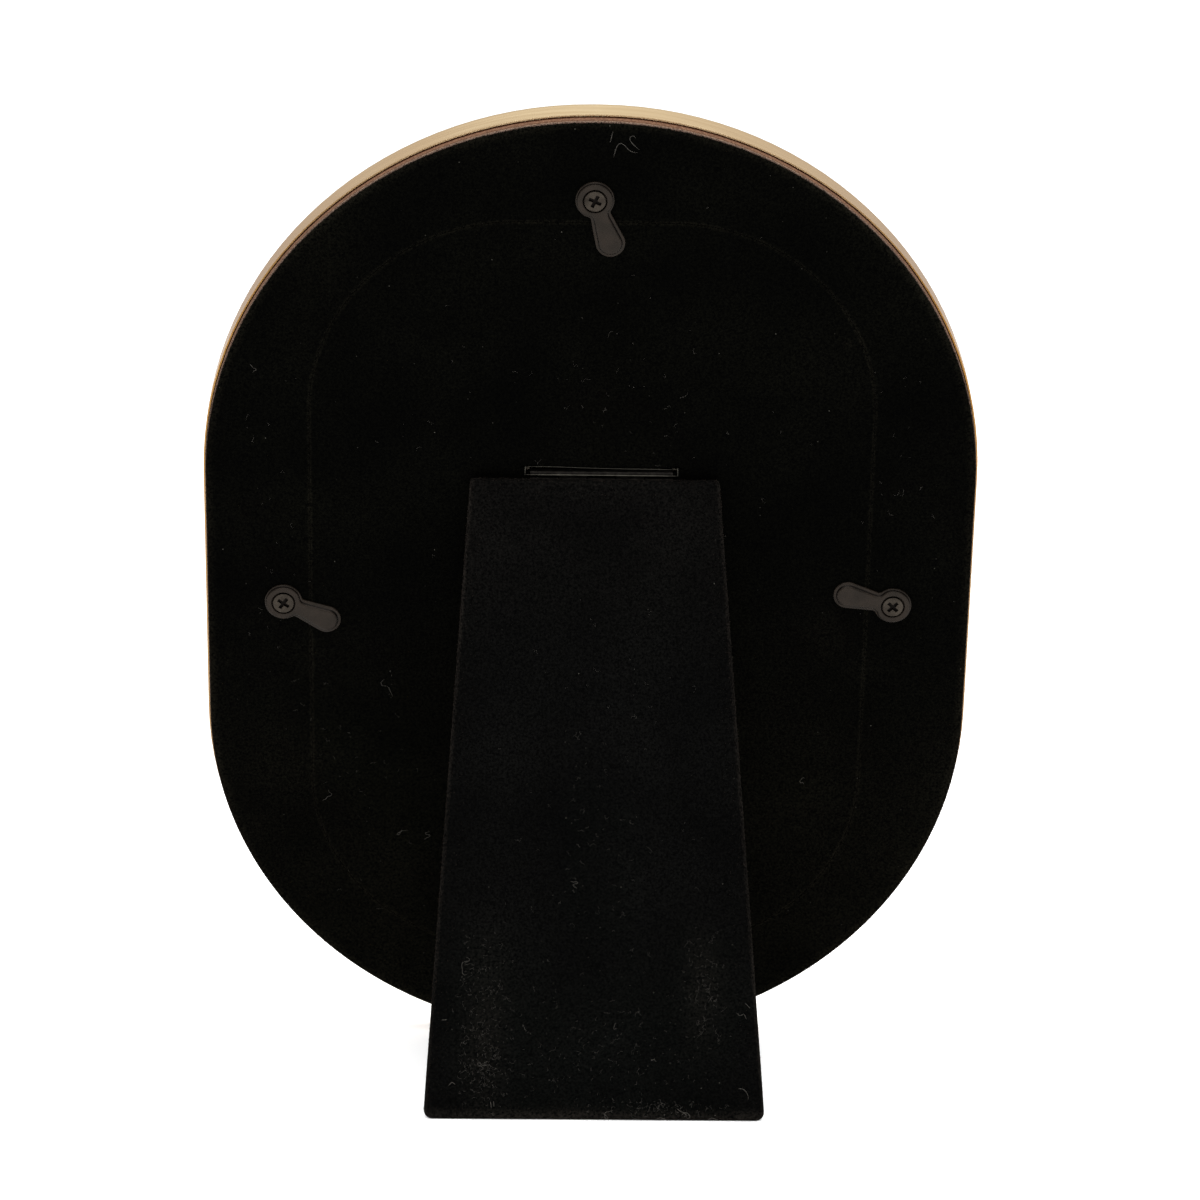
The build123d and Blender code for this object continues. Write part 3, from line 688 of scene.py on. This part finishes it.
seam_section = tucked_section(SEAM_TUCK)
ring_rows = velvet_plate(ring_edge, cut_section, ring_opening, seam_section, 24)
panel_rows = velvet_plate(panel_edge, seam_section, slot_edge, tucked_section(SLOT_TUCK), 60)
leg_rows = leg_cover_rows()
ring_velvet = piece("ring_velvet_pile", skin(ring_rows, True), "frame", back_pile)
panel_velvet = piece("panel_velvet_pile", skin(panel_rows, True), "frame", back_pile)
leg_velvet = piece("leg_velvet_cover", skin(leg_rows, False), "leg", leg_pile)
mark(ring_velvet, "nap_and_light", back_nap_and_light, False)
mark(ring_velvet, "cut", back_cut, False)
mark(panel_velvet, "nap_and_light", back_nap_and_light, False)
mark(leg_velvet, "nap_and_light", leg_nap_and_light, True)
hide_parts("ring_velvet")
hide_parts("panel_velvet")
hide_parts("leg_cover")


# Glass

def glass_rows():
    """The pane as one closed skin of loops: from the middle of its front out to the eased edge, over it, and
    back to the middle behind. A film of air keeps it off the card."""
    sections = [(0.5, GLASS_FRONT), (GLASS_EASE, GLASS_FRONT), (0, GLASS_FRONT + GLASS_EASE),
                (0, GLASS_BACK - GLASS_EASE), (GLASS_EASE, GLASS_BACK), (0.5, GLASS_BACK)]
    rows = [at_level(panel_edge[0] - inset * panel_edge[1], level) for inset, level in sections]
    middle_point = np.broadcast_to(frame_middle, panel_edge[0].shape)
    return np.array([at_level(middle_point, GLASS_FRONT), *rows, at_level(middle_point, GLASS_BACK)])


pane = piece("glass_pane", skin(glass_rows(), False), "frame", picture_glass())
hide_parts("glass")
# light reaches the card through the clear glass, which would otherwise cast a full shadow on it
pane.visible_shadow = False


# Turn-buttons

def button_outline(count):
    """A turn-button's keyhole outline: the tip's arc, a side that touches it, a hollow fillet and the eye's
    arc. A fillet's middle stands off the eye by both radii and off the side by its own."""
    side = 90 + SIDE_FLARE
    offset = TIP_MIDDLE * math.cos(math.radians(side)) + TIP_RADIUS
    reach = EYE_RADIUS + NECK_FILLET
    swing = side - math.degrees(math.acos((offset + NECK_FILLET) / reach))
    x, y = reach * math.cos(math.radians(swing)), reach * math.sin(math.radians(swing))
    return arc_loop([
        (0, 0, EYE_RADIUS, 180, 360 - swing),
        (x, -y, NECK_FILLET, 180 - swing, 180 - side),
        (TIP_MIDDLE, 0, TIP_RADIUS, -side, side),
        (x, y, NECK_FILLET, 180 + side, 180 + swing),
        (0, 0, EYE_RADIUS, swing, 180),
    ], count)


def turn_button_rows():
    """A stamped turn-button lying along x as one closed skin of rows.
    From its lower edge the section goes up the sheet's edge, in over a flat flange and up to the raised
    crown, across to the eye's dish, down into it, through the screw hole and back underneath. The flange is
    narrower on the eye."""
    outline, normals = button_outline(200)
    handle_share = 0.42 + 0.58 * smooth(outline[:, :1], 1.6, 4.4)
    flange = BUTTON_LIFT + BUTTON_SHEET
    crown = flange + BUTTON_RISE
    sections = [(0.1, BUTTON_LIFT), (0, BUTTON_LIFT + 0.08), (0, flange - 0.14), (0.04, flange - 0.05),
                (0.12, flange), (0.45, flange), (0.52, flange + 0.03), (0.6, flange + 0.17),
                (0.7, flange + 0.42), (0.82, crown - 0.07), (1.0, crown - 0.015), (1.3, crown)]
    rows = [at_level(outline - inset * handle_share * normals, level) for inset, level in sections]
    shoulder = rows[-1][:, :2]
    round_eye = shoulder / np.linalg.norm(shoulder, axis=1, keepdims=True)
    brim = (DISH_RADIUS + 0.25) * round_eye
    rows += [at_level(shoulder * (1 - share) + brim * share, crown) for share in (0.25, 0.5, 0.75, 1)]
    dish = [(DISH_RADIUS + 0.1, crown - 0.02), (DISH_RADIUS + 0.02, crown - 0.1), (DISH_RADIUS, crown - 0.2),
            (DISH_RADIUS - 0.02, flange + 0.06), (DISH_RADIUS - 0.12, flange), (SCREW_HOLE_RADIUS, flange),
            (SCREW_HOLE_RADIUS, BUTTON_LIFT)]
    rows += [at_level(radius * round_eye, level) for radius, level in dish]
    return np.array(rows)


screw_places = {"top": TOP_SCREW, "left": LEFT_SCREW, "right": RIGHT_SCREW}
button_rows = turn_button_rows()
for side, place in screw_places.items():
    angle = math.radians(BUTTON_ANGLES[side])
    turned = button_rows @ np.array([
        [math.cos(angle), math.sin(angle), 0],
        [-math.sin(angle), math.cos(angle), 0],
        [0, 0, 1],
    ])
    stamped = piece("turn_button_" + side + "_stamped", skin(turned + np.array([*place, 0]), True),
                    "turn_button_" + side, enamel)
    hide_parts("turn_button_" + side)


# Fuzz along the edges, and lint

def needles(roots, tips, width):
    """Tapered fibres: three corners round each root, square to the fibre, drawn to a point at its tip."""
    along = tips - roots
    along = along / np.linalg.norm(along, axis=1, keepdims=True)
    aside = np.cross(along, np.where(np.abs(along[:, :1]) < 0.8, [[1.0, 0, 0]], [[0, 1.0, 0]]))
    aside = aside / np.linalg.norm(aside, axis=1, keepdims=True)
    third = np.cross(along, aside)
    angles = np.arange(3) * math.tau / 3
    ring = np.cos(angles)[:, None] * aside[:, None] + np.sin(angles)[:, None] * third[:, None]
    corners = np.concatenate([roots[:, None] + ring * width / 2, tips[:, None]], 1)
    pattern = np.array([[0, 1, 3], [1, 2, 3], [2, 0, 3], [2, 1, 0]])
    faces = np.arange(len(roots))[:, None, None] * 4 + pattern
    return corners.reshape(-1, 3), faces.reshape(-1, 3)


def edge_fuzz(loops, count, longest, width, seed):
    """Fibres that stand out of an edge's rows: each root is a random mix of neighbouring points, and each
    fibre leans out of the skin, turned at random."""
    rng = np.random.default_rng(seed)
    row = rng.integers(0, len(loops) - 1, count)
    column = rng.integers(0, loops.shape[1], count)
    beside = (column + 1) % loops.shape[1]
    mix_row, mix_column = rng.random((2, count, 1))
    here, there = loops[row, column], loops[row, beside]
    below = loops[row + 1, column]
    roots = here + (there - here) * mix_column + (below - here) * mix_row
    facing = np.cross(there - here, below - here)
    facing = facing / np.maximum(np.linalg.norm(facing, axis=1, keepdims=True), 1e-9)
    lean_out = facing + 0.8 * rng.normal(size=(count, 3))
    lean_out = lean_out / np.linalg.norm(lean_out, axis=1, keepdims=True)
    lean_out = np.where((lean_out * facing).sum(1, keepdims=True) < 0, -lean_out, lean_out)
    return needles(roots, roots + lean_out * longest * (0.35 + 0.65 * rng.random((count, 1))), width)


def strands(paths, radius):
    """Three-sided threads along paths: corners stand round each point, square to the path, and draw in
    at the ends."""
    count, steps = paths.shape[:2]
    tangent = np.gradient(paths, axis=1)
    tangent = tangent / np.linalg.norm(tangent, axis=-1, keepdims=True)
    aside = np.cross(tangent, [0, 0, 1.0])
    aside = aside / np.linalg.norm(aside, axis=-1, keepdims=True)
    over = np.cross(aside, tangent)
    along = np.linspace(0, 1, steps)
    thin = radius * np.minimum(1, 0.2 + 6 * np.minimum(along, 1 - along))[None, :, None, None]
    angles = (np.arange(3) * math.tau / 3 + math.tau / 4)[:, None]
    ring = np.cos(angles) * aside[:, :, None] + np.sin(angles) * over[:, :, None]
    corners = paths[:, :, None] + ring * thin
    index = np.arange(count * steps * 3).reshape(count, steps, 3)
    around = np.roll(index, -1, 2)
    halves = [[index[:, :-1], around[:, :-1], around[:, 1:]], [index[:, :-1], around[:, 1:], index[:, 1:]]]
    sides = [np.stack(half, -1).reshape(-1, 3) for half in halves]
    return corners.reshape(-1, 3), np.concatenate([*sides, index[:, 0], index[:, -1, ::-1]])


def curled(starts, headings, lengths, curls, level, steps, seed):
    """Paths of curled lint lying on a surface: each heading swings as two sines of its own along the thread,
    and the points are the running sum of short steps."""
    rng = np.random.default_rng(seed)
    along = np.linspace(0, 1, steps)
    phase = rng.random((2, len(starts), 1)) * math.tau
    swing = np.sin(math.tau * along * 0.9 + phase[0]) + 0.6 * np.sin(math.tau * along * 2.1 + phase[1])
    heading = np.radians(headings)[:, None] + curls[:, None] * swing
    step = lengths[:, None] / steps
    x = starts[:, :1] + np.cumsum(np.cos(heading) * step, 1)
    y = starts[:, 1:] + np.cumsum(np.sin(heading) * step, 1)
    return np.stack([x, y, level + 0.1 + 0.08 * np.sin(math.tau * along * 1.3 + phase[0])], -1)


def scattered(places, level, seed):
    """Short fibres strewn about: each place is x, y, the most they spread each way, and how many there are.
    The mean of two even draws makes them thicker towards the middle of a place."""
    rng = np.random.default_rng(seed)
    spread = np.repeat(np.array(places)[:, :4], [int(place[4]) for place in places], axis=0)
    count = len(spread)
    starts = spread[:, :2] + spread[:, 2:] * (rng.random((2, count, 2)).sum(0) - 1)
    lengths = 0.5 + 2.3 * rng.random(count) ** 2
    headings = 360 * rng.random(count)
    return curled(starts, headings, lengths, 0.6 + 1.2 * rng.random(count), level, 8, seed + 1)


def laid(threads, level, steps):
    """Threads laid through a few chosen points each: even steps along the straight runs between them,
    rounded by the weighted mean of each step and the two on either side."""
    paths = []
    for thread in threads:
        points = np.array(thread, float)
        length = np.append(0, np.cumsum(np.hypot(*np.diff(points, axis=0).T)))
        at = np.linspace(0, length[-1], steps)
        runs = np.stack([np.interp(at, length, column) for column in points.T], 1)
        runs = np.pad(runs, ((2, 2), (0, 0)), "edge")
        paths.append(sum(runs[i:i + steps] * share for i, share in enumerate((0.1, 0.25, 0.3, 0.25, 0.1))))
    return np.concatenate([np.array(paths), np.full((len(paths), steps, 1), level + 0.1)], -1)


def slot_lip_and_highlight_paths():
    """The cut edge of the velvet's woven back round the hinge slot, as four strands: the top one sags along
    an S curve and sinks a little, and the short ones close the ends. The lower one is a painted highlight:
    a pale straight thread laid on the hinge leaf's fold, where the fold's edge catches the light."""
    along = np.linspace(0, 1, 40)
    level = np.ones_like(along)
    left, right = HINGE_SHIFT - SLOT_WIDTH / 2, HINGE_SHIFT + SLOT_WIDTH / 2
    x = left + (right - left) * along
    leaf_x = left + 0.15 + (x - left) * 0.99
    top_y = SLOT_MIDDLE + SLOT_HEIGHT / 2 - 0.05 - 0.35 * smooth(along, 0.1, 0.6)
    top_z = -0.02 - 0.15 * np.sin(math.pi * along) ** 2
    end_y = SLOT_MIDDLE + SLOT_HEIGHT * (0.5 - along)
    return np.array([
        np.column_stack([x, top_y, top_z]),
        # painted highlight: a pale straight thread on the hinge leaf's fold
        np.column_stack([leaf_x, LEAF_HIGHLIGHT_HEIGHT * level, LEAF_HIGHLIGHT_LEVEL * level]),
        np.column_stack([(left + 0.08) * level, end_y, 0.08 * level]),
        np.column_stack([(right - 0.08) * level, end_y, 0.08 * level]),
    ])


def joined(*parts):
    """Several point and face arrays as one."""
    starts = np.cumsum([0] + [len(points) for points, _ in parts])
    return (np.concatenate([points for points, _ in parts]),
            np.concatenate([faces + start for (_, faces), start in zip(parts, starts)]))


# The pile's rolls: a cut edge begins with one row under its roll, and a tucked one ends with three in
# its gap
roll_rows = len(rolled) + 1
board_rows = np.array([at_level(ring_edge[0], level) for level in np.linspace(-2.0, -0.05, 4)])
edge_fibres = edge_fuzz(board_rows, 4200, 0.28, 0.05, 10)
pile_fibres = joined(
    edge_fuzz(ring_rows[1:roll_rows + 1], 2600, 0.3, 0.05, 11),
    edge_fuzz(ring_rows[-roll_rows - 3:-3], 1500, 0.22, 0.04, 12),
    edge_fuzz(panel_rows[-roll_rows - 3:-3], 200, 0.2, 0.04, 13),
)
leg_edge_rows = leg_rows[LEG_FACE_ROWS - 2:LEG_FACE_ROWS + 11][::-1]
leg_fibres = edge_fuzz(leg_edge_rows, 4500, 0.36, 0.05, 14)
board_fuzz = piece("board_edge_fuzz", edge_fibres, "frame", brown_fibre)
back_fuzz = piece("back_velvet_fuzz", pile_fibres, "frame", black_fibre)
leg_fuzz = piece("leg_velvet_fuzz", leg_fibres, "leg", leg_fibre)

# Each curled thread: where it starts on the bench, which way it heads, its length and how tightly it curls
back_threads = np.array([
    (-40.5, 83.5, -80, 6.0, 0.9), (-37.5, 49.0, -40, 5.0, 1.7), (-33.0, 46.5, 60, 4.0, 1.4),
    (-52.0, 58.0, 250, 4.0, 0.9), (-66.0, 150.0, 100, 3.0, 1.0), (44.0, 60.0, 80, 3.0, 1.3),
])
leg_threads = np.array([
    (-24.0, 34.5, -80, 6.0, 1.2), (-3.5, 49.5, -50, 4.0, 1.5), (-20.5, 12.0, 50, 5.0, 1.5),
    (3.0, 4.2, 10, 5.0, 1.6), (6.0, 22.0, -70, 2.5, 1.2), (14.0, 14.0, 100, 2.5, 1.6),
    (29.5, 24.0, -35, 3.0, 0.8), (-12.0, 20.0, 70, 2.2, 1.4),
])
# Laid threads, by the points they pass through: a fibre with a loop at the top of the back, and hooks round
# the foot
back_laid = [
    [(2.9, 201.0), (2.7, 199.9), (2.4, 198.5)],
    [(3.1, 195.6), (3.7, 198.0), (4.3, 198.7), (5.1, 198.3), (5.7, 197.5), (6.6, 196.8), (8.0, 196.7)],
    [(7.3, 199.6), (6.8, 200.2), (6.1, 199.8), (6.2, 199.1), (7.0, 198.2), (8.1, 197.2)],
]
leg_laid = [
    [(13.9, 2.7), (14.8, 3.05), (15.6, 2.85), (16.3, 2.4)],
    [(24.2, 2.7), (25.0, 3.1), (25.8, 2.8), (26.5, 2.4)],
    [(18.0, 5.0), (18.9, 4.2), (20.3, 4.0), (20.8, 3.2), (20.1, 2.8)],
    [(19.0, 3.6), (19.5, 4.0), (20.0, 3.6), (19.5, 3.2)],
    [(30.1, 8.9), (31.1, 8.85), (31.7, 8.3), (32.1, 7.5), (32.1, 6.8)],
    [(-28.4, 22.0), (-27.3, 22.1)],
    [(-26.9, 9.1), (-26.2, 9.8), (-25.5, 9.3)],
    [(-18.6, 6.0), (-18.4, 4.6)],
    [(-18.0, 6.1), (-17.9, 4.9)],
    [(22.7, 8.85), (23.0, 9.05)],
    [(15.5, 3.5), (15.75, 3.7)],
    [(25.5, 3.5), (25.75, 3.65)],
    [(31.3, 25.8), (32.3, 24.8)],
]
back_strewn = [(0, 140, 45, 50, 80), (-45, 60, 15, 35, 40), (-62, 110, 8, 50, 30), (60, 125, 10, 40, 20)]
leg_strewn = [
    (-20, 26, 6, 16, 110), (-20, 13, 6, 10, 130), (23, 29, 5, 14, 90), (14, 5, 15, 1.8, 80),
    (3, 16, 28, 12, 130), (1, 60, 23, 48, 130),
]
back_lint = joined(
    strands(curled(back_threads[:, :2], *back_threads[:, 2:].T, 0, 28, 21), 0.025),
    strands(laid(back_laid, 0, 28), 0.035),
    strands(scattered(back_strewn, 0, 23), 0.011),
)
leg_lint = joined(
    strands(curled(leg_threads[:, :2], *leg_threads[:, 2:].T, LEG_OUTSIDE, 28, 22), 0.025),
    strands(laid(leg_laid, LEG_OUTSIDE, 24), 0.035),
    strands(scattered(leg_strewn, LEG_OUTSIDE, 25), 0.009),
)
slot_strand_radii = np.array([0.055, 0.11, 0.09, 0.1])[:, None, None, None]
slot_lip_and_highlight = strands(slot_lip_and_highlight_paths(), slot_strand_radii)
lint_on_back = piece("back_lint", back_lint, "frame", grey_lint)
lint_on_leg = piece("leg_lint", leg_lint, "leg", grey_lint)
# the lower strand is a painted highlight on the hinge leaf's fold
cut_lip_and_highlight = piece("slot_cut_edge_and_highlight", slot_lip_and_highlight, "frame", backing_and_highlight)


# Floor, light and camera

def soft_light(name, place, aim, width, strength):
    """A square softbox at a place, turned to face a point."""
    data = bpy.data.lights.new(name, "AREA")
    data.size = width
    data.energy = strength
    lamp = bpy.data.objects.new(name, data)
    lamp.location = place
    lamp.rotation_euler = (aim - lamp.location).to_track_quat("-Z", "Y").to_euler()
    bpy.context.scene.collection.objects.link(lamp)


middle = sum(cad_box, start=cad_box[0] * 0) / 2
soft_light("overhead_softbox", (0.0, 0.25, 1.3), middle, 1.4, 24)
soft_light("camera_side_softbox", (0.0, 1.5, 0.8), middle, 1.0, 6)

floor_mesh = bpy.data.meshes.new("floor")
floor_mesh.from_pydata([(-6, -6, 0), (6, -6, 0), (6, 6, 0), (-6, 6, 0)], [], [(0, 1, 2, 3)])
floor = bpy.data.objects.new("floor", floor_mesh)
bpy.context.scene.collection.objects.link(floor)
floor_finish, floor_tree, floor_shader, floor_spot = new_finish(
    "matt_white_sweep", Roughness=1.0, Specular_IOR_Level=0.0, Emission_Color=(1, 1, 1, 1),
    Emission_Strength=0.3)
paint = add(floor_tree, "TexNoise", floor_spot, {"Scale": per_metre(300)})
tint = add(floor_tree, "Mix", {0: paint}, tints("#fbfbfa", "#fefefe"), data_type="RGBA")
feed(floor_tree, floor_shader, {"Base Color": tint})
floor_mesh.materials.append(floor_finish)

# A white studio: the camera sees plain white walls, and the light they give is strongest above and
# behind the frame
world = bpy.data.worlds.new("studio")
bpy.context.scene.world = world
world.use_nodes = True
sky = world.node_tree
direction = add(sky, "TexCoord", {}, {})
towards = add(sky, "VectorMath", {0: direction.outputs["Generated"]}, {1: (0, -0.7, 0.7)},
              operation="DOT_PRODUCT")
glow = add(sky, "MapRange", {"Value": towards},
           {"From Min": -0.8, "From Max": 0.8, "To Min": 0.2, "To Max": 1.1})
walls = add(sky, "Background", {"Strength": glow}, {"Color": (1, 1, 1, 1)})
backdrop = add(sky, "Background", {}, {"Color": (1, 1, 1, 1), "Strength": 1.0})
seen = add(sky, "LightPath", {}, {})
studio = add(sky, "MixShader", {0: seen.outputs["Is Camera Ray"], 1: walls, 2: backdrop}, {})
feed(sky, sky.nodes["World Output"], {"Surface": studio})
bpy.context.scene.view_settings.view_transform = "Standard"

camera_data = bpy.data.cameras.new("camera")
camera_data.lens = CAMERA_LENS
camera_data.sensor_width = 36
camera = bpy.data.objects.new("camera", camera_data)
camera.location = stand_frame(np.array(CAMERA_PLACE))
look = (Vector(stand_frame(np.array(CAMERA_AIM))) - camera.location).to_track_quat("-Z", "Y")
camera.rotation_euler = (look @ Quaternion((0, 0, 1), math.radians(CAMERA_ROLL))).to_euler()
bpy.context.scene.collection.objects.link(camera)
bpy.context.scene.camera = camera
